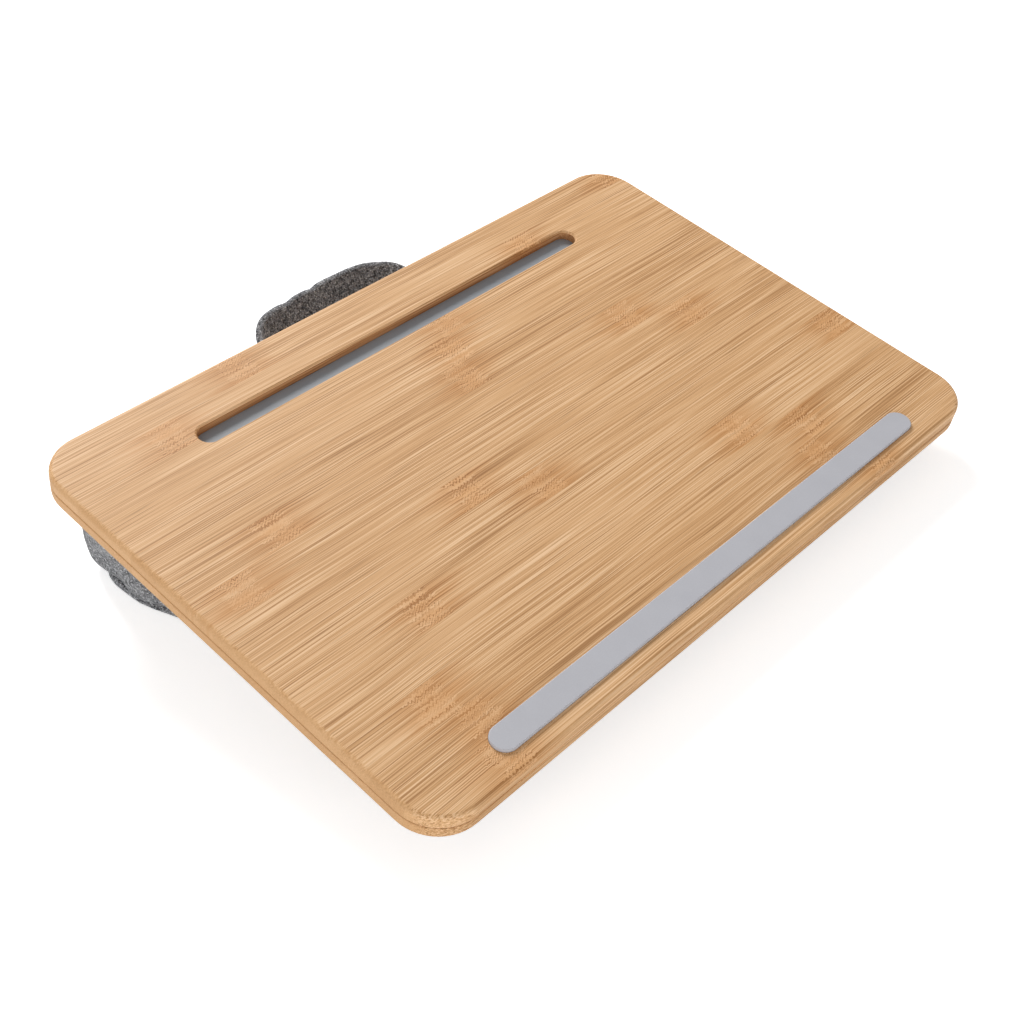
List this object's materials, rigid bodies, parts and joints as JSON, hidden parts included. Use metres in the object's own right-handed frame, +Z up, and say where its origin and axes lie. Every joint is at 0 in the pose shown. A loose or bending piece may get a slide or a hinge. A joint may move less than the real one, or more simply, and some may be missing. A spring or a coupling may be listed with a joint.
{
  "type": "lap desk with lift lid",
  "caption": "Bamboo lap desk: a hinged lid with a device slot and a grip strip over a storage tub, on a fabric wedge cushion with a carry loop.",
  "frame": {"origin": "on the flat underside of the cushion, below the middle of the boards", "axes": "+X is the user's right, -Y faces the user, +Z is up"},
  "size_m": [0.45, 0.3439, 0.0834],
  "materials": {
    "bamboo": "satin clear coat",
    "grey_silicone": "matte",
    "pale_liner": "matte",
    "zinc_steel": "zinc plated",
    "magnet": "nickel plated",
    "bumper_rubber": "matte",
    "tub_plastic": "fine texture",
    "felt": "felt",
    "hook_loop": "pile",
    "foam": "soft foam",
    "heather_fabric": "heather weave"
  },
  "bodies": {
    "base": {"base_board": "bamboo", "storage_tub": "tub_plastic", "tub_screws": "zinc_steel", "tub_mat": "felt", "strike_discs": "zinc_steel", "hinge_base_leaves": "zinc_steel", "hinge_base_screws": "zinc_steel", "hinge_pins": "zinc_steel", "loop_tapes": "hook_loop", "hook_tapes": "hook_loop", "cushion_core": "foam", "cover_top": "heather_fabric", "cover_boxing": "heather_fabric", "cover_bottom": "heather_fabric", "piping_top": "heather_fabric", "piping_bottom": "heather_fabric", "handle_anchors": "heather_fabric"},
    "lid": {"lid_board": "bamboo", "grip_strip": "grey_silicone", "slot_liner": "pale_liner", "liner_screws": "zinc_steel", "lid_magnets": "magnet", "lid_bumpers": "bumper_rubber", "hinge_lid_leaves": "zinc_steel", "hinge_lid_screws": "zinc_steel"},
    "handle": {"handle_cover": "heather_fabric", "handle_core": "foam"}
  },
  "joints": [
    {"name": "lid_hinge", "type": "hinge", "parent": "base", "child": "lid", "pos_m": [0, 0.14663, 0.07569], "axis": [-1, 0, 0], "range_deg": [0, 105]},
    {"name": "handle_swing", "type": "hinge", "parent": "base", "child": "handle", "pos_m": [0, 0.1454, 0.0468], "axis": [1, 0, 0], "range_deg": [-35, 12]}
  ]
}
